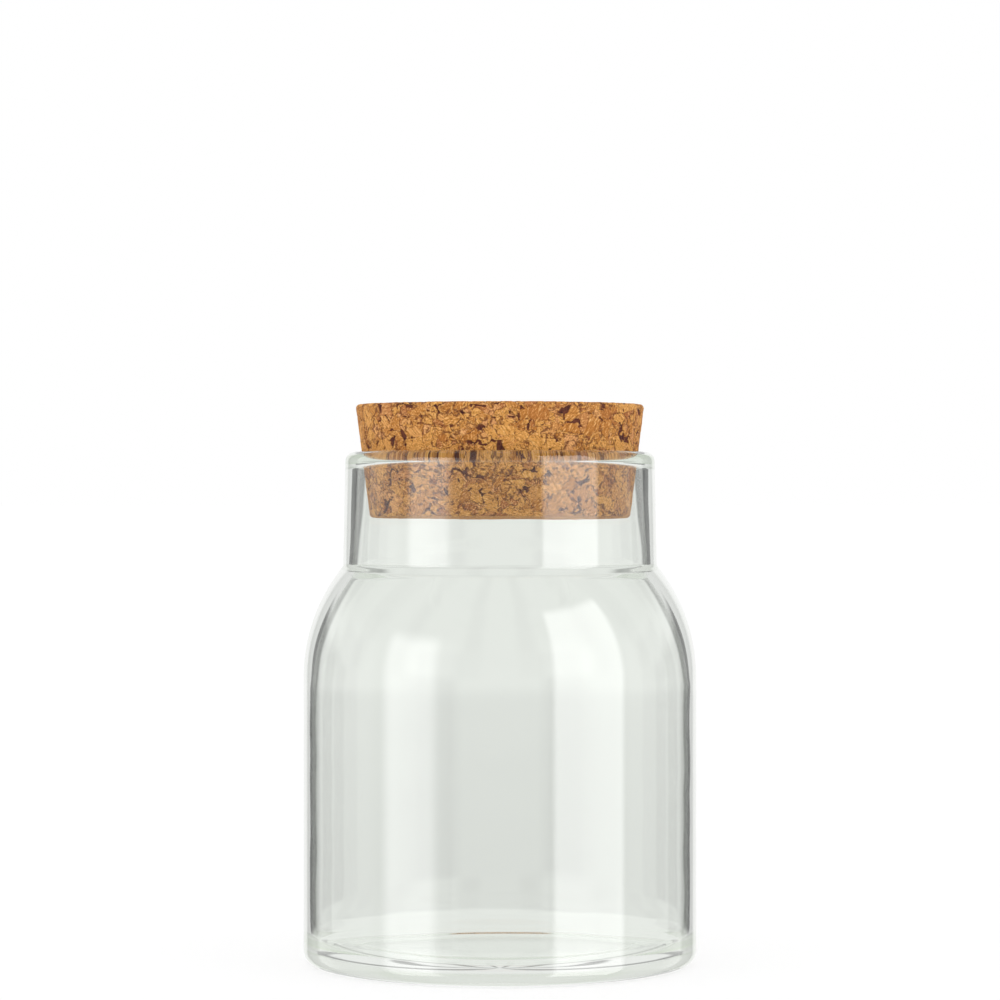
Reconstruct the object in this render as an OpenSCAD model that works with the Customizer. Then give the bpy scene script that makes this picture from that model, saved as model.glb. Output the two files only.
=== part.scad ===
// Storage jar of clear glass with a tapered cork stopper.
// The jar is a body of revolution about Z. It stands on the plane z = 0.
// All sizes are in millimetres.

/* [Jar body] */
// Outer diameter of the straight body
body_d = 85; // [82:0.5:90]
// Height from the table to the top of the lip
jar_h = 110.6; // [109:0.2:120]
// Thickness of the body wall
wall_t = 1.8; // [1.6:0.1:2.2]
// Thickness of the floor
floor_t = 2.2; // [1.8:0.1:3]
// Radius of the outer corner between the body and the base
heel_r = 3.2; // [2:0.2:5]
// Radius of the inner corner between the body and the floor
floor_corner_r = 5.5; // [4:0.5:7]

/* [Base] */
// Height of the push-up in the middle of the base
push_up_h = 0.7; // [0.2:0.1:1.2]
// Radius of the flat top of the push-up
push_up_r = 28.5; // [24:0.5:29]
// Inner radius of the ring that the jar stands on
rest_ring_r = 33; // [31:0.5:34]

/* [Shoulder and neck] */
// Radius of the shoulder's outer curve
shoulder_r = 38; // [36:0.5:42]
// Radius of the shoulder's inner curve
shoulder_in_r = 40; // [39:0.5:42]
// Height at which the outer wall starts to curve in
shoulder_z = 62; // [60:0.5:63]
// Height at which the inner wall starts to curve in
shoulder_in_z = 59; // [57:0.5:60]
// Outer diameter of the neck where it meets the shoulder
neck_base_d = 67.9; // [67.6:0.1:69]
// Inner diameter of the neck where it meets the shoulder
neck_bore_d = 64.2; // [63:0.2:64.8]
// Radius that blends the neck into the shoulder outside
neck_blend_r = 1.6; // [0.8:0.2:3]
// Radius that eases the edge between neck and shoulder inside
neck_edge_r = 0.7; // [0.4:0.1:1.5]

/* [Lip] */
// Outer diameter of the lip
lip_d = 67; // [66.8:0.1:67.6]
// Diameter of the neck's bore just below the lip's bead
throat_d = 61.7; // [61.2:0.1:62.4]
// Inner diameter of the lip's bead, where the stopper seats
mouth_d = 59.8; // [59.4:0.1:60]
// Radius of the lip's outer edge
lip_out_r = 2; // [1.4:0.1:2.1]
// Radius of the lip's inner bead
lip_in_r = 1.4; // [1:0.1:1.5]
// Angle at which the bead's underside turns back into the bore
bead_angle = 40; // [30:1:50]

/* [Stopper] */
// Diameter of the stopper's top face
stopper_top_d = 62.6; // [62:0.1:65]
// Diameter of the stopper's bottom face
stopper_bottom_d = 56.4; // [55.6:0.1:57]
// Height of the stopper
stopper_h = 24.1; // [22:0.1:28]
// Rounding of the stopper's edges
stopper_edge_r = 0.8; // [0.3:0.1:1.5]
// Gap between the stopper's side and the lip where it seats
seat_gap = 0.09; // [0.05:0.01:0.2]

/* [Hidden] */

// Segments of a full turn
turn_segments = 180;
// Segments of a large arc and of a small one
arc_steps = 20;
edge_steps = 8;

body_r = body_d / 2;
cavity_r = body_r - wall_t;
neck_base_r = neck_base_d / 2;
neck_bore_r = neck_bore_d / 2;
throat_r = throat_d / 2;

// Centres of the shoulder's two arcs
shoulder_c = [body_r - shoulder_r, shoulder_z];
shoulder_in_c = [cavity_r - shoulder_in_r, shoulder_in_z];

// Centres of the lip's outer edge and of its inner bead
lip_out_c = [lip_d / 2 - lip_out_r, jar_h - lip_out_r];
bead_c = [mouth_d / 2 + lip_in_r, jar_h - lip_in_r];

// Hollow arc that carries the bead back into the bore
throat_arc_r = (throat_r - mouth_d / 2) / (1 - cos(bead_angle)) - lip_in_r;
throat_c = bead_c - (lip_in_r + throat_arc_r) * [cos(bead_angle), sin(bead_angle)];

// The stopper's taper, and the height at which that taper meets the lip's bead
taper = atan((stopper_top_d - stopper_bottom_d) / 2 / stopper_h);
seat_reach = (lip_in_r + seat_gap) / cos(taper);
stopper_z = bead_c.y - (bead_c.x - stopper_bottom_d / 2 - seat_reach) / tan(taper);

// Points along an arc about the centre c, from the angle a0 to the angle a1
function arc(c, r, a0, a1, steps) =
    [for (i = [0:steps]) let (a = a0 + (a1 - a0) * i / steps) c + r * [cos(a), sin(a)]];

// Centre of the small arc of radius q that touches the wall of radius wall_r
// and the shoulder's arc of radius r about c
function blend_centre(c, r, wall_r, q) =
    [wall_r + q, c.y + sqrt(pow(r + q, 2) - pow(wall_r + q - c.x, 2))];

// Direction from the point a to the point b
function heading(a, b) = atan2(b.y - a.y, b.x - a.x);

// A rise of height h over the radii r0 to r1, level at both ends, at height z
function swell(r0, r1, h, z, steps) =
    [for (i = [0:steps]) [r0 + (r1 - r0) * i / steps, z + h * (1 + cos(180 * i / steps)) / 2]];

// An outline without its first point, where that point ends the outline before it
function tail(points) = [for (i = [1:len(points) - 1]) points[i]];

// Outline of the outside of the glass, from the middle of the base to the lip
function outer_outline() =
    let (blend_c = blend_centre(shoulder_c, shoulder_r, neck_base_r, neck_blend_r),
         blend_a = heading(shoulder_c, blend_c))
    concat(
        [[0, push_up_h]],
        swell(push_up_r, rest_ring_r, push_up_h, 0, edge_steps),
        arc([body_r - heel_r, heel_r], heel_r, -90, 0, edge_steps),
        arc(shoulder_c, shoulder_r, 0, blend_a, arc_steps),
        tail(arc(blend_c, neck_blend_r, 180 + blend_a, 180, edge_steps)),
        arc(lip_out_c, lip_out_r, 0, 90, edge_steps)
    );

// Outline of the inside, from the lip down to the middle of the floor
function inner_outline() =
    let (edge_c = blend_centre(shoulder_in_c, shoulder_in_r, neck_bore_r, neck_edge_r),
         edge_a = heading(shoulder_in_c, edge_c),
         floor_swell = swell(push_up_r, rest_ring_r, push_up_h, floor_t, edge_steps))
    concat(
        arc(bead_c, lip_in_r, 90, 180 + bead_angle, edge_steps),
        tail(arc(throat_c, throat_arc_r, bead_angle, 0, edge_steps)),
        arc(edge_c, neck_edge_r, 180, 180 + edge_a, edge_steps),
        tail(arc(shoulder_in_c, shoulder_in_r, edge_a, 0, arc_steps)),
        arc([cavity_r - floor_corner_r, floor_t + floor_corner_r], floor_corner_r, 0, -90, edge_steps),
        [for (i = [0:edge_steps]) floor_swell[edge_steps - i]],
        [[0, floor_t + push_up_h]]
    );

// Blown glass: a round body, a domed shoulder, a nearly straight neck and a rounded lip
module glass_jar() {
    color("LightCyan", 0.35)
        rotate_extrude($fn = turn_segments)
            polygon(concat(outer_outline(), inner_outline()));
}

// One turned block of pressed cork granules, tapered so that it wedges in the lip
module cork_stopper() {
    r = stopper_edge_r;
    top_z = stopper_z + stopper_h;
    side_r = stopper_bottom_d / 2 - r / cos(taper);
    low_c = [side_r + r * tan(taper), stopper_z + r];
    high_c = [side_r + (stopper_h - r) * tan(taper), top_z - r];
    color("Peru")
        rotate_extrude($fn = turn_segments)
            polygon(concat(
                [[0, stopper_z]],
                arc(low_c, r, -90, -taper, edge_steps),
                arc(high_c, r, -taper, 90, edge_steps),
                [[0, top_z]]
            ));
}

glass_jar();
cork_stopper();
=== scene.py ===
import math

import bpy
import numpy as np
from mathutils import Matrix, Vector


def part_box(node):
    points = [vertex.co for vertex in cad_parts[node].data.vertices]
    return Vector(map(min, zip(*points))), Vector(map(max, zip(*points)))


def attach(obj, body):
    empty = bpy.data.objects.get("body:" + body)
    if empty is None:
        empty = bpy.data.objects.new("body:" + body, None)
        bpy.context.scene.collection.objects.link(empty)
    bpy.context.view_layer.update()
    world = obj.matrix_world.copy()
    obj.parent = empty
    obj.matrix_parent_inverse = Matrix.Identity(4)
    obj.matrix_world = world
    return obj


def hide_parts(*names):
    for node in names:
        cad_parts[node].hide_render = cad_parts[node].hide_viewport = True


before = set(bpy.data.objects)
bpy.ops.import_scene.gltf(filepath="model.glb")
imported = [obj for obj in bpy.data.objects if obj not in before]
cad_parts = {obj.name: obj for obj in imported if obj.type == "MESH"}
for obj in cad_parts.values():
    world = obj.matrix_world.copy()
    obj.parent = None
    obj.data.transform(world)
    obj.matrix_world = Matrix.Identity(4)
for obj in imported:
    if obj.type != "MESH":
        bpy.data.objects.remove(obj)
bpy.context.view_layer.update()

MM = 0.001

# Sizes of the glass in millimetres, as the CAD solid has them
BODY_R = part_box("glass_jar")[1].x / MM
JAR_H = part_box("glass_jar")[1].z / MM
WALL = 1.8
FLOOR_T = 2.2
HEEL_R = 3.2
FLOOR_CORNER_R = 5.5
PUSH_UP_H = 0.7
PUSH_UP_R = 28.5
REST_RING_R = 33
SHOULDER_R = 38
SHOULDER_IN_R = 40
SHOULDER_Z = 62
SHOULDER_IN_Z = 59
NECK_BASE_R = 33.95
NECK_BORE_R = 32.1
NECK_BLEND_R = 1.6
NECK_EDGE_R = 0.7
LIP_R = 33.5
THROAT_R = 30.85
MOUTH_R = 29.9
LIP_OUT_R = 2
LIP_IN_R = 1.4
BEAD_ANGLE = 40

# How uneven the blown glass is, and the radius and height over which this grows from nothing
UNEVEN_OUTSIDE = 0.006
UNEVEN_INSIDE = 0.02
UNEVEN_FROM_R = 30
UNEVEN_FROM_H = 6

# Sizes of the stopper in millimetres
CORK_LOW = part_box("cork_stopper")[0].z / MM
CORK_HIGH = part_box("cork_stopper")[1].z / MM
CORK_TOP_R = 31.3
CORK_BOTTOM_R = 28.2
CORK_EDGE_R = 0.8

# The granules that the cork is pressed from, in millimetres, and how much flatter than wide they lie
LARGE_GRANULE = 3.6
SMALL_GRANULE = 1.6
HOLE_SPACING = 1.25 * SMALL_GRANULE
THIN_SEAM = 0.06
SEAM_SPREAD = 0.3
FLATTER = 1.25

# How deep the cork is worn in from its cut surface, in millimetres
SEAM_DEPTH = 0.08
HOLE_DEPTH = 0.25
GRANULE_DEPTH = 0.06
GRAIN_DEPTH = 0.06

# Colours of the cork
TAN = (0.71, 0.335, 0.082, 1)
ROSY_TAN = (0.71, 0.33, 0.12, 1)
BROWN = (0.52, 0.2, 0.04, 1)
RED_BROWN = (0.43, 0.145, 0.042, 1)
DARK_STREAK = (0.26, 0.088, 0.017, 1)
PALE_STREAK = (0.93, 0.56, 0.21, 1)
SPECK = (0.28, 0.10, 0.03, 1)
SEAM = (0.13, 0.036, 0.015, 1)
# Painted shade: the near-black colour in the cork's holes stands for the shade that falls in them
HOLE_SHADE = (0.045, 0.011, 0.012, 1)
BARK = (0.14, 0.04, 0.02, 1)

# Surfaces that light may meet before it is let out of the glass
CAUGHT_AFTER = 5.5

# How finely the surfaces are divided
JAR_SEGMENTS = 320
CORK_CELLS = 140
MIDDLE_STEPS = 6
PUSH_UP_STEPS = 10
RING_STEPS = 3
HEEL_STEPS = 14
CORNER_STEPS = 16
BODY_STEPS = 24
BODY_IN_STEPS = 22
DOME_STEPS = 40
NECK_BLEND_STEPS = 10
NECK_EDGE_STEPS = 8
NECK_STEPS = 12
LIP_STEPS = 14
BEAD_STEPS = 16
THROAT_STEPS = 12
CORK_EDGE_STEPS = 5
CORK_SIDE_STEPS = 78

# The studio's floor and camera in metres, and the lens in millimetres
FLOOR_HALF = 60.0
FLOOR_DROP = 0.0002
CAMERA_DISTANCE = 0.8
CAMERA_HEIGHT = 0.1002
CAMERA_LENS = 133


def arc(centre, radius, start, end, steps):
    """Points c + r (cos a, sin a) as the angle a goes from start to end, in degrees."""
    a = np.radians(np.linspace(start, end, steps + 1))
    return np.array(centre) + radius * np.stack([np.cos(a), np.sin(a)], axis=1)


def line(start, end, steps):
    """Evenly spaced points between two ends, without the ends."""
    t = np.linspace(0, 1, steps + 1)[1:-1, None]
    return (1 - t) * np.array(start) + t * np.array(end)


def swell(inner, outer, rise, height, steps):
    """A rise that falls off as half a cosine wave between two radii."""
    t = np.linspace(0, 1, steps + 1)
    return np.stack([inner + (outer - inner) * t, height + rise * (1 + np.cos(np.pi * t)) / 2], axis=1)


def blend_centre(centre, radius, wall, blend):
    """Centre of the small arc that touches an upright wall and the shoulder's arc."""
    x = wall + blend
    return np.array([x, centre[1] + math.sqrt((radius + blend) ** 2 - (x - centre[0]) ** 2)])


def heading(start, end):
    """Direction from one point to another, in degrees."""
    return math.degrees(math.atan2(end[1] - start[1], end[0] - start[0]))


def outside_of_glass():
    """Outline from the middle of the base over the heel, body, shoulder and neck to the lip."""
    shoulder = np.array([BODY_R - SHOULDER_R, SHOULDER_Z])
    blend = blend_centre(shoulder, SHOULDER_R, NECK_BASE_R, NECK_BLEND_R)
    turn = heading(shoulder, blend)
    lip = np.array([LIP_R - LIP_OUT_R, JAR_H - LIP_OUT_R])
    middle = (0, PUSH_UP_H)
    base = swell(PUSH_UP_R, REST_RING_R, PUSH_UP_H, 0, PUSH_UP_STEPS)
    heel = arc((BODY_R - HEEL_R, HEEL_R), HEEL_R, -90, 0, HEEL_STEPS)
    dome = arc(shoulder, SHOULDER_R, 0, turn, DOME_STEPS)
    foot_of_neck = arc(blend, NECK_BLEND_R, 180 + turn, 180, NECK_BLEND_STEPS)[1:]
    lip_edge = arc(lip, LIP_OUT_R, 0, 90, LIP_STEPS)
    return np.concatenate([
        [middle], line(middle, base[0], MIDDLE_STEPS), base,
        line(base[-1], heel[0], RING_STEPS), heel,
        line(heel[-1], dome[0], BODY_STEPS), dome, foot_of_neck,
        line(foot_of_neck[-1], lip_edge[0], NECK_STEPS), lip_edge,
    ])


def inside_of_glass():
    """Outline from the lip over its bead, down the neck and body to the middle of the floor."""
    bead = np.array([MOUTH_R + LIP_IN_R, JAR_H - LIP_IN_R])
    bead_end = math.radians(BEAD_ANGLE)
    throat_arc = (THROAT_R - MOUTH_R) / (1 - math.cos(bead_end)) - LIP_IN_R
    throat = bead - (LIP_IN_R + throat_arc) * np.array([math.cos(bead_end), math.sin(bead_end)])
    cavity = BODY_R - WALL
    shoulder = np.array([cavity - SHOULDER_IN_R, SHOULDER_IN_Z])
    edge = blend_centre(shoulder, SHOULDER_IN_R, NECK_BORE_R, NECK_EDGE_R)
    turn = heading(shoulder, edge)
    floor_corner = (cavity - FLOOR_CORNER_R, FLOOR_T + FLOOR_CORNER_R)
    lip = arc(bead, LIP_IN_R, 90, 180 + BEAD_ANGLE, BEAD_STEPS)
    under_bead = arc(throat, throat_arc, BEAD_ANGLE, 0, THROAT_STEPS)[1:]
    foot_of_neck = arc(edge, NECK_EDGE_R, 180, 180 + turn, NECK_EDGE_STEPS)
    dome = arc(shoulder, SHOULDER_IN_R, turn, 0, DOME_STEPS)[1:]
    corner = arc(floor_corner, FLOOR_CORNER_R, 0, -90, CORNER_STEPS)
    rise = swell(PUSH_UP_R, REST_RING_R, PUSH_UP_H, FLOOR_T, PUSH_UP_STEPS)[::-1]
    middle = (0, FLOOR_T + PUSH_UP_H)
    return np.concatenate([
        lip, under_bead,
        line(under_bead[-1], foot_of_neck[0], NECK_STEPS), foot_of_neck, dome,
        line(dome[-1], corner[0], BODY_IN_STEPS), corner,
        line(corner[-1], rise[0], RING_STEPS), rise,
        line(rise[-1], middle, MIDDLE_STEPS), [middle],
    ])


def new_piece(name, points, faces, body, node, material):
    """A smooth mesh object, points in millimetres, that stands for a CAD node and rides on its body."""
    mesh = bpy.data.meshes.new(name)
    mesh.from_pydata((points * MM).tolist(), [], faces)
    mesh.shade_smooth()
    mesh.materials.append(material)
    piece = bpy.data.objects.new(name, mesh)
    bpy.context.scene.collection.objects.link(piece)
    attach(piece, body)
    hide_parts(node)
    return piece


def grid_faces(index):
    """Four-sided faces between neighbours on a grid of vertex numbers."""
    corners = [index[:-1, :-1], index[:-1, 1:], index[1:, 1:], index[1:, :-1]]
    return np.stack(corners, axis=-1).reshape(-1, 4)


def blown(radius, height, turn, depth):
    """The slow unevenness of blown glass: a sum of sine waves, each with whole turns round the axis.

    A wave has its number of turns, its length in millimetres of height plus radius, its start and
    its share of the depth.
    """
    waves = [
        (2, 31, 0.4, 0.5),
        (3, -23, 1.9, 0.35),
        (5, 17, 4.0, 0.3),
        (7, -13, 2.6, 0.22),
        (11, 9, 5.2, 0.14),
    ]
    total = np.zeros(np.broadcast_shapes(radius.shape, turn.shape))
    for turns, length, start, share in waves:
        total += share * np.sin(turns * turn + 2 * np.pi * (height + radius) / length + start)
    return depth * total


def jar_surface():
    """The closed outline turned about Z, with both ends on the axis as poles.

    Each point is moved along the outline's normal by the unevenness of the glass.
    """
    outer = outside_of_glass()
    inner = inside_of_glass()
    outline = np.concatenate([outer, inner])
    depth = np.concatenate([np.full(len(outer), UNEVEN_OUTSIDE), np.full(len(inner), UNEVEN_INSIDE)])
    steps = np.gradient(outline, axis=0)
    normal = np.stack([steps[:, 1], -steps[:, 0]], axis=1)
    normal /= np.linalg.norm(normal, axis=1, keepdims=True)
    turn = np.linspace(0, 2 * np.pi, JAR_SEGMENTS, endpoint=False)[None, :]
    rows = outline[1:-1]
    radius, height = rows[:, :1], rows[:, 1:]
    fade = np.clip(radius / UNEVEN_FROM_R, 0, 1) * np.clip((height - FLOOR_T) / UNEVEN_FROM_H, 0, 1)
    push = blown(radius, height, turn, depth[1:-1, None]) * fade
    radius = radius + push * normal[1:-1, :1]
    height = height + push * normal[1:-1, 1:]
    ring = np.stack([radius * np.cos(turn), radius * np.sin(turn), height], axis=-1)
    poles = [(0, 0, PUSH_UP_H), (0, 0, FLOOR_T + PUSH_UP_H)]
    points = np.concatenate([ring.reshape(-1, 3), poles])
    index = np.arange(len(rows) * JAR_SEGMENTS).reshape(len(rows), JAR_SEGMENTS)
    index = np.concatenate([index, index[:, :1]], axis=1)
    low, high = len(points) - 2, len(points) - 1
    faces = grid_faces(index).tolist()
    faces += [(low, b, a) for a, b in zip(index[0, :-1].tolist(), index[0, 1:].tolist())]
    faces += [(high, a, b) for a, b in zip(index[-1, :-1].tolist(), index[-1, 1:].tolist())]
    return points, faces


def disc(radius, height, cells):
    """A square grid bent onto a level disc: each square ring of the grid becomes a circle."""
    line_of = np.linspace(-1, 1, cells + 1)
    a, b = np.meshgrid(line_of, line_of, indexing="ij")
    wide = np.abs(a) >= np.abs(b)
    reach = np.where(wide, a, b)
    ratio = np.where(wide, b, a) / np.where(reach == 0, 1, reach)
    turn = np.where(wide, ratio * np.pi / 4, np.pi / 2 - ratio * np.pi / 4)
    out = radius * reach
    return np.stack([out * np.cos(turn), out * np.sin(turn), height + 0 * turn], axis=-1)


def cork_outline():
    """The plug's side from the edge of its bottom to the edge of its top, with both edges rounded."""
    taper = math.atan2(CORK_TOP_R - CORK_BOTTOM_R, CORK_HIGH - CORK_LOW)
    slope = math.tan(taper)
    side_r = CORK_BOTTOM_R - CORK_EDGE_R / math.cos(taper)
    low = (side_r + CORK_EDGE_R * slope, CORK_LOW + CORK_EDGE_R)
    high = (side_r + (CORK_HIGH - CORK_LOW - CORK_EDGE_R) * slope, CORK_HIGH - CORK_EDGE_R)
    low_edge = arc(low, CORK_EDGE_R, -90, -math.degrees(taper), CORK_EDGE_STEPS)
    high_edge = arc(high, CORK_EDGE_R, -math.degrees(taper), 90, CORK_EDGE_STEPS)
    return np.concatenate([low_edge, line(low_edge[-1], high_edge[0], CORK_SIDE_STEPS), high_edge])


def cork_surface():
    """A tapered plug: two discs of square cells, and a side that turns an outline about Z.

    The points that the three patches share are joined.
    """
    outline = cork_outline()
    turn = np.linspace(-np.pi / 4, 7 * np.pi / 4, 4 * CORK_CELLS + 1)[None, :]
    radius, height = outline[:, :1], outline[:, 1:] + 0 * turn
    side = np.stack([radius * np.cos(turn), radius * np.sin(turn), height], axis=-1)[:, ::-1]
    top = disc(outline[-1, 0], CORK_HIGH, CORK_CELLS)
    bottom = disc(outline[0, 0], CORK_LOW, CORK_CELLS)[:, ::-1]
    patches = [side, top, bottom]
    loose = np.concatenate([patch.reshape(-1, 3) for patch in patches])
    sizes = [patch.shape[0] * patch.shape[1] for patch in patches]
    starts = np.cumsum([0] + sizes)
    quads = np.concatenate([
        grid_faces(start + np.arange(size).reshape(patch.shape[:2]))
        for start, size, patch in zip(starts, sizes, patches)
    ])
    keys = np.round(loose / MM).astype(np.int64)
    _, first, joined = np.unique(keys, axis=0, return_index=True, return_inverse=True)
    return loose[first], joined.reshape(-1)[quads][:, ::-1].tolist()


class Value:
    """A number in a node tree. Arithmetic on it adds Math nodes."""

    def __init__(self, nodes, socket):
        self.nodes = nodes
        self.socket = socket

    def __add__(self, other):
        return self.nodes.math("ADD", self, other)

    def __sub__(self, other):
        return self.nodes.math("SUBTRACT", self, other)

    def __rsub__(self, other):
        return self.nodes.math("SUBTRACT", other, self)

    def __mul__(self, other):
        return self.nodes.math("MULTIPLY", self, other)

    def __truediv__(self, other):
        return self.nodes.math("DIVIDE", self, other)

    def __neg__(self):
        return self.nodes.math("MULTIPLY", self, -1)

    def __abs__(self):
        return self.nodes.math("ABSOLUTE", self)

    __radd__ = __add__
    __rmul__ = __mul__


class Nodes:
    """A node tree that is written as expressions on Value objects."""

    def __init__(self, tree):
        self.tree = tree

    def node(self, kind, settings, inputs, output=0):
        """Adds a node, sets its own settings, then its sockets by name or number, and gives one output."""
        made = self.tree.nodes.new(kind)
        for name, value in settings.items():
            setattr(made, name, value)
        for name, value in inputs.items():
            if isinstance(value, Value):
                self.tree.links.new(value.socket, made.inputs[name])
            else:
                made.inputs[name].default_value = value
        return Value(self, made.outputs[output])

    def math(self, operation, *values):
        return self.node("ShaderNodeMath", {"operation": operation}, dict(enumerate(values)))

    def vector(self, operation, *values, output=0):
        return self.node("ShaderNodeVectorMath", {"operation": operation}, dict(enumerate(values)), output)

    def scaled(self, vector, factor):
        return self.node("ShaderNodeVectorMath", {"operation": "SCALE"}, {0: vector, "Scale": factor})

    def part(self, vector, axis):
        return self.node("ShaderNodeSeparateXYZ", {}, {0: vector}, axis)

    def path(self, output):
        """What kind of ray is being followed, or how many surfaces of a kind it has met."""
        return self.node("ShaderNodeLightPath", {}, {}, output)

    def step(self, value, low, high):
        """A smooth step from 0 at low to 1 at high."""
        settings = {"interpolation_type": "SMOOTHSTEP"}
        return self.node("ShaderNodeMapRange", settings, {"Value": value, "From Min": low, "From Max": high})

    def between(self, value, low, high, soft):
        """1 from low to high, with soft ends."""
        return self.step(value, low - soft, low + soft) * (1 - self.step(value, high - soft, high + soft))

    def noise(self, point, size, detail=2.0, roughness=0.5, output=0):
        """Noise whose features are about size across, in the units of the point."""
        inputs = {"Vector": point, "Scale": 1 / size, "Detail": detail, "Roughness": roughness}
        return self.node("ShaderNodeTexNoise", {}, inputs, output)

    def drift(self, point, size, reach):
        """A vector that wanders by up to half the reach each way, over features about size across."""
        centred = self.vector("SUBTRACT", self.noise(point, size, output="Color"), (0.5, 0.5, 0.5))
        return self.scaled(centred, reach)

    def cells(self, point, size, feature="F1", output="Distance"):
        """Cells about size across. Distances come back in cells."""
        inputs = {"Vector": point, "Scale": 1 / size}
        return self.node("ShaderNodeTexVoronoi", {"feature": feature}, inputs, output)

    def mix(self, factor, first, second):
        """Two colours mixed by the factor."""
        settings = {"data_type": "RGBA"}
        return self.node("ShaderNodeMix", settings, {"Factor": factor, "A": first, "B": second}, 2)

    def blend(self, factor, first, second):
        """Two surfaces mixed by the factor."""
        return self.node("ShaderNodeMixShader", {}, {0: factor, 1: first, 2: second})

    def result(self, kind, values):
        """The tree's last node, with the values that it takes by socket."""
        end = self.tree.nodes.new(kind)
        for socket, value in values.items():
            self.tree.links.new(value.socket, end.inputs[socket])


def new_material(name):
    """An empty material, and its nodes."""
    material = bpy.data.materials.new(name)
    material.use_nodes = True
    material.node_tree.nodes.clear()
    return material, Nodes(material.node_tree)


def clear_glass():
    """Soda glass: colourless to the eye, a little green in its thickness.

    Light that stays caught in the heel or the lip would end up black, so it is let out straight
    after a few turns.
    """
    material, nodes = new_material("clear_glass")
    surface = nodes.node("ShaderNodeBsdfPrincipled", {}, {
        "Base Color": (0.968, 0.986, 0.961, 1), "Roughness": 0.0, "IOR": 1.5, "Transmission Weight": 1.0,
    })
    inside = nodes.node("ShaderNodeVolumeAbsorption", {}, {"Color": (0.65, 0.75, 0.55, 1), "Density": 8.0})
    caught = nodes.math("GREATER_THAN", nodes.path("Ray Depth"), CAUGHT_AFTER)
    let_out = nodes.node("ShaderNodeBsdfTransparent", {}, {"Color": (0.96, 0.97, 0.955, 1)})
    nodes.result("ShaderNodeOutputMaterial", {
        "Surface": nodes.blend(caught, surface, let_out),
        "Volume": inside,
    })
    return material


def granules(nodes, point):
    """Pressed granules at a point in millimetres: a random colour for each, then seam, hole and ragged.

    Seam and hole are 1 in a seam and in a hole, and ragged is fine noise. The point is moved by noise,
    so that the cells get ragged outlines. Large cells stay whole or are broken into small ones, by a
    random number that each large cell has.
    """
    moved = nodes.vector("ADD", nodes.drift(point, 5.0, reach=5.0), nodes.drift(point, 0.9, reach=0.8))
    moved = nodes.vector("MULTIPLY", nodes.vector("ADD", point, moved), (1.0, 1.0, FLATTER))
    large_seed = nodes.cells(moved, LARGE_GRANULE, output="Color")
    small_seed = nodes.cells(moved, SMALL_GRANULE, output="Color")
    broken = nodes.step(nodes.part(large_seed, 0), 0.42, 0.44)
    seed = nodes.mix(broken, large_seed, small_seed)
    large_edge = nodes.cells(moved, LARGE_GRANULE, "DISTANCE_TO_EDGE") * LARGE_GRANULE
    small_edge = nodes.cells(moved, SMALL_GRANULE, "DISTANCE_TO_EDGE") * SMALL_GRANULE
    out_of_reach = 9 * (1 - broken)
    edge = nodes.math("MINIMUM", large_edge, small_edge + out_of_reach)
    ragged = nodes.noise(point, 0.7, detail=3.0, roughness=0.6)
    patchy = nodes.noise(point, 3.0)
    width = THIN_SEAM + SEAM_SPREAD * nodes.step(patchy + 0.5 * ragged, 0.62, 0.98)
    seam = 1 - nodes.step(edge / width, 0.35, 1.0)
    corner = nodes.cells(moved, HOLE_SPACING)
    hole = nodes.step(corner + 0.4 * ragged, 0.95, 1.01)
    return seed, seam, hole, ragged


def streaks(nodes, point, seed):
    """Fine lines in a granule, along a random direction of its own: noise drawn out along it."""
    along = nodes.vector("NORMALIZE", nodes.vector("SUBTRACT", seed, (0.5, 0.5, 0.5)))
    reach = nodes.vector("DOT_PRODUCT", point, along, output="Value")
    drawn = nodes.vector("SUBTRACT", point, nodes.scaled(along, 0.82 * reach))
    return nodes.noise(drawn, 0.28, detail=3.0, roughness=0.65)


def cork_relief(nodes, point):
    """How far the cork is worn in from its cut surface, in millimetres."""
    seed, seam, hole, ragged = granules(nodes, point)
    sunk = GRANULE_DEPTH * nodes.part(seed, 1)
    return SEAM_DEPTH * seam + HOLE_DEPTH * hole + sunk + GRAIN_DEPTH * ragged


def sampled(points, field):
    """A field of texture nodes worked out at an array of points, as an array of numbers."""
    mesh = bpy.data.meshes.new("samples")
    mesh.from_pydata(points.tolist(), [], [])
    samples = bpy.data.objects.new("samples", mesh)
    bpy.context.scene.collection.objects.link(samples)
    group = bpy.data.node_groups.new("sampler", "GeometryNodeTree")
    group.interface.new_socket("Geometry", in_out="INPUT", socket_type="NodeSocketGeometry")
    group.interface.new_socket("Geometry", in_out="OUTPUT", socket_type="NodeSocketGeometry")
    nodes = Nodes(group)
    depth = field(nodes, nodes.node("GeometryNodeInputPosition", {}, {}))
    store = {"Geometry": nodes.node("NodeGroupInput", {}, {}), "Name": "depth", "Value": depth}
    nodes.result("NodeGroupOutput", {0: nodes.node("GeometryNodeStoreNamedAttribute", {}, store)})
    samples.modifiers.new("sampler", "NODES").node_group = group
    made = samples.evaluated_get(bpy.context.evaluated_depsgraph_get()).data
    values = np.zeros(len(points), np.float32)
    made.attributes["depth"].data.foreach_get("value", values)
    bpy.data.objects.remove(samples)
    bpy.data.node_groups.remove(group)
    return values


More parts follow.
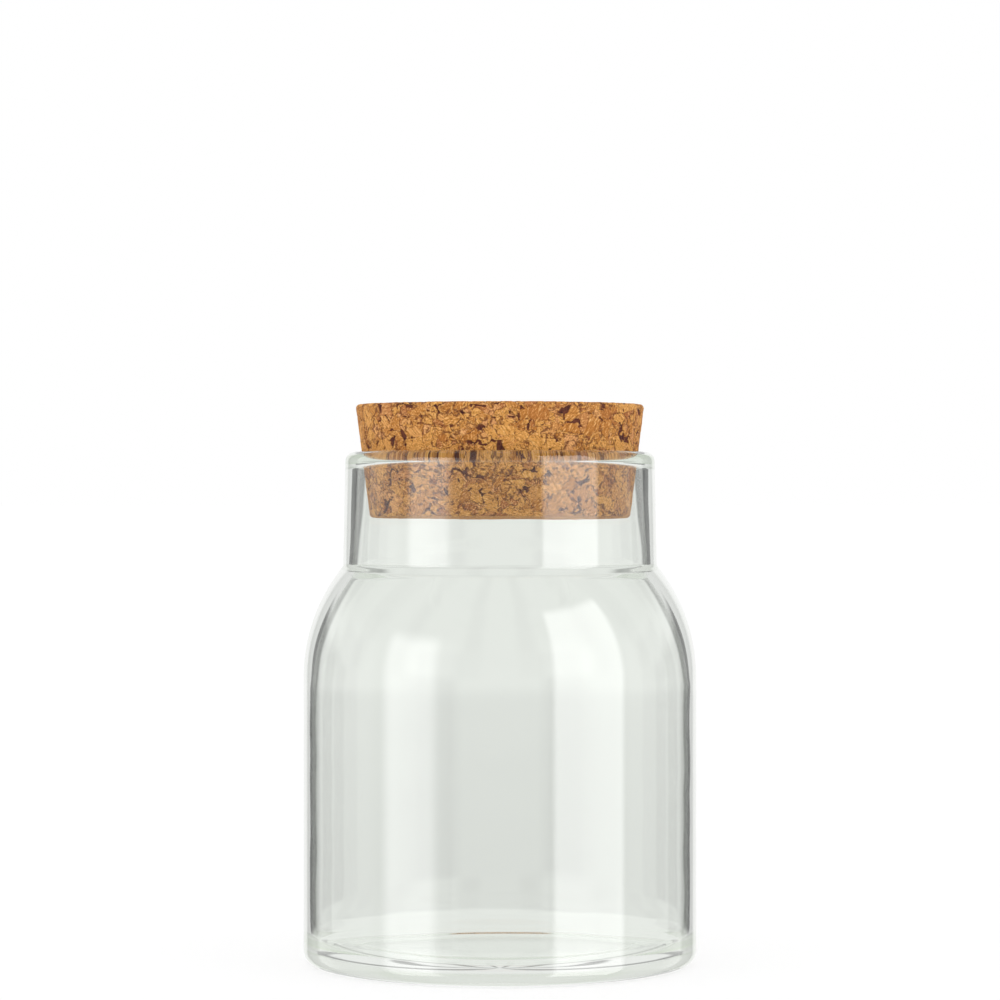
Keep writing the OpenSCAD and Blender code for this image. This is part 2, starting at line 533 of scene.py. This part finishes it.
def pressed_cork():
    """Tan granules of many shades, with streaks, dark seams between them, and holes darkened with painted
    shade, mixed in places with dark bark.
    """
    material, nodes = new_material("pressed_cork")
    cut = nodes.node("ShaderNodeAttribute", {"attribute_name": "cut_surface"}, {}, "Vector")
    seed, seam, hole, ragged = granules(nodes, cut)
    shade = nodes.part(seed, 2)
    hue = nodes.part(seed, 1)
    light = nodes.mix(nodes.step(hue, 0.55, 0.95), TAN, ROSY_TAN)
    dark = nodes.mix(nodes.step(hue, 0.5, 0.9), BROWN, RED_BROWN)
    colour = nodes.mix(nodes.step(shade, 0.05, 0.75), dark, light)
    streak = streaks(nodes, cut, seed)
    colour = nodes.mix(0.85 * (1 - nodes.step(streak, 0.34, 0.49)), colour, DARK_STREAK)
    colour = nodes.mix(0.8 * nodes.step(streak, 0.53, 0.66), colour, PALE_STREAK)
    speck = nodes.step(nodes.noise(cut, 0.45), 0.60, 0.68)
    colour = nodes.mix(0.35 * speck, colour, SPECK)
    colour = nodes.mix(0.8 * seam * nodes.step(ragged, 0.4, 0.56), colour, SEAM)
    bark = nodes.step(ragged, 0.3, 0.6)
    # Painted shade in the holes, mixed in places with the colour of dark bark
    colour = nodes.mix(hole, colour, nodes.mix(bark, HOLE_SHADE, BARK))
    height = -0.1 * seam - 0.3 * hole + 0.06 * streak
    bump = nodes.node("ShaderNodeBump", {}, {"Height": height, "Distance": MM, "Strength": 0.6})
    surface = nodes.node("ShaderNodeBsdfPrincipled", {}, {
        "Base Color": colour, "Normal": bump, "Roughness": 0.8, "Specular IOR Level": 0.25,
    })
    nodes.result("ShaderNodeOutputMaterial", {"Surface": surface})
    return material


def jar_glass():
    """The jar, one turned surface of blown glass."""
    points, faces = jar_surface()
    new_piece("jar_glass", points, faces, "jar", "glass_jar", clear_glass())


def stopper_cork():
    """The plug, worn in along its normals from the cut surface, whose points an attribute keeps."""
    points, faces = cork_surface()
    cork = new_piece("stopper_cork", points, faces, "stopper", "cork_stopper",
                     pressed_cork())
    normals = np.zeros(len(points) * 3, np.float32)
    cork.data.vertex_normals.foreach_get("vector", normals)
    wear = normals.reshape(-1, 3) * sampled(points, cork_relief)[:, None]
    cork.data.vertices.foreach_set("co", ((points - wear) * MM).astype(np.float32).ravel())
    cut_surface = cork.data.attributes.new("cut_surface", "FLOAT_VECTOR", "POINT")
    cut_surface.data.foreach_set("vector", points.astype(np.float32).ravel())
    cork.data.update()


def behind_glass(sky, wide, elevation):
    """A pale backdrop with dark cards, for what is seen through the glass.

    The cards stand at the four corners round the jar, and make the dark lines in its walls. They begin
    a little off each axis direction, and further off for light that a wall has turned inside. Light
    that leaves the jar steeply meets paler cards.
    """
    turned_inside = sky.math("GREATER_THAN", sky.path("Glossy Depth"), 0.5)
    off_axis = sky.math("PINGPONG", wide, 45.0)
    card_edge = 15.5 + 13.0 * turned_inside
    backdrop = 0.88 - 0.11 * (1 - sky.step(elevation, -6.0, 1.0))
    level_view = backdrop - 0.76 * sky.step(off_axis, card_edge - 1, card_edge + 1)
    low_cards = sky.between(45.0 - off_axis, low=19.0, high=32.0, soft=3.0)
    steep_view = 0.87 - 0.5 * low_cards * (1 - sky.step(elevation, -12.0, -9.0))
    near_level = sky.between(elevation, low=-10.0, high=15.0, soft=2.0)
    return steep_view + near_level * (level_view - steep_view)


def in_the_mirror(sky, azimuth, wide, elevation):
    """A dark room with a glowing soft box on each side, for what the outer face of the glass mirrors."""
    right_box = sky.between(azimuth, low=31.5, high=76.0, soft=2.5)
    right_box = right_box * sky.between(elevation, low=-40.0, high=43.0, soft=3.0)
    left_box = sky.between(azimuth, low=-70.0, high=-38.0, soft=5.0)
    left_box = left_box * sky.between(elevation, low=-40.0, high=24.0, soft=5.0)
    room = 0.12 + 0.15 * sky.step(wide, 28.0, 80.0) + 0.73 * sky.step(wide, 151.0, 158.0)
    box_glow = 0.9 * sky.between(wide, low=27.0, high=58.0, soft=6.0)
    side_glow = 0.55 * sky.step(wide, 70.0, 85.0) + 0.4 * sky.step(wide, 105.0, 125.0)
    side_glow = side_glow * (1 - sky.step(wide, 128.0, 135.0))
    glow = (box_glow + side_glow) * sky.between(elevation, low=-30.0, high=22.0, soft=8.0)
    return room + glow + 4.0 * right_box + 3.5 * left_box


def on_matt_surfaces(sky, wide, elevation):
    """Even light, stronger from both sides above level, and stronger again behind the glass."""
    side_light = sky.between(wide, low=20.0, high=90.0, soft=20.0)
    side_light = side_light * sky.between(elevation, low=0.0, high=60.0, soft=15.0)
    from_matt = sky.math("GREATER_THAN", sky.path("Diffuse Depth"), 0.5)
    lit_through_glass = sky.path("Is Transmission Ray") * from_matt
    return (0.85 + 0.55 * side_light) * (1 + 0.4 * lit_through_glass)


def studio():
    """All light comes from the world, which shows different things to different kinds of ray.

    Angles are in degrees. The azimuth is 0 on the camera's side, 180 behind the jar and positive
    to the right, and wide is its size. The elevation is above level.
    """
    world = bpy.data.worlds.new("studio")
    bpy.context.scene.world = world
    world.use_nodes = True
    world.node_tree.nodes.clear()
    sky = Nodes(world.node_tree)
    direction = sky.node("ShaderNodeTexCoord", {}, {}, "Generated")
    across, away, up = [sky.part(direction, axis) for axis in range(3)]
    azimuth = sky.math("DEGREES", sky.math("ARCTAN2", across, -away))
    elevation = sky.math("DEGREES", sky.math("ARCSINE", up))
    wide = abs(azimuth)
    no_diffuse = sky.math("LESS_THAN", sky.path("Diffuse Depth"), 0.5)
    reflected = sky.math("GREATER_THAN", sky.path("Glossy Depth"), 0.5)
    still_outside = sky.math("LESS_THAN", sky.path("Transmission Depth"), 0.5)
    mirrored = sky.path("Is Glossy Ray") * no_diffuse * reflected * still_outside
    through = sky.path("Is Transmission Ray") * no_diffuse
    light = on_matt_surfaces(sky, wide, elevation)
    light = light + mirrored * (in_the_mirror(sky, azimuth, wide, elevation) - light)
    light = light + through * (behind_glass(sky, wide, elevation) - light)
    light = light + sky.path("Is Camera Ray") * (1 - light)
    background = sky.node("ShaderNodeBackground", {}, {"Color": (1, 1, 1, 1), "Strength": light})
    sky.result("ShaderNodeOutputWorld", {"Surface": background})


def studio_floor():
    """A wide matt square just under the jar, which keeps the shadow and looks nearly white to the camera."""
    material, nodes = new_material("studio_floor")
    matt = nodes.node("ShaderNodeBsdfDiffuse", {}, {"Color": (0.92, 0.92, 0.92, 1)})
    white = nodes.node("ShaderNodeEmission", {}, {"Color": (1, 1, 1, 1), "Strength": 1.06})
    nodes.result("ShaderNodeOutputMaterial", {
        "Surface": nodes.blend(nodes.path("Is Camera Ray") * 0.75, matt, white),
    })
    corners = [(-1, -1), (1, -1), (1, 1), (-1, 1)]
    mesh = bpy.data.meshes.new("floor")
    mesh.from_pydata([(x * FLOOR_HALF, y * FLOOR_HALF, 0) for x, y in corners], [], [(0, 1, 2, 3)])
    mesh.materials.append(material)
    floor = bpy.data.objects.new("floor", mesh)
    bpy.context.scene.collection.objects.link(floor)
    floor.location.z = -FLOOR_DROP
    floor.visible_transmission = False
    floor.visible_glossy = False


def camera():
    """A level camera at the height of the neck, at the photograph's distance."""
    optics = bpy.data.cameras.new("camera")
    optics.lens = CAMERA_LENS
    eye = bpy.data.objects.new("camera", optics)
    bpy.context.scene.collection.objects.link(eye)
    eye.location = (0, -CAMERA_DISTANCE, CAMERA_HEIGHT)
    eye.rotation_euler = (math.radians(90), 0, 0)
    bpy.context.scene.camera = eye


jar_glass()
stopper_cork()
studio()
studio_floor()
camera()
bpy.context.scene.view_settings.view_transform = "Standard"
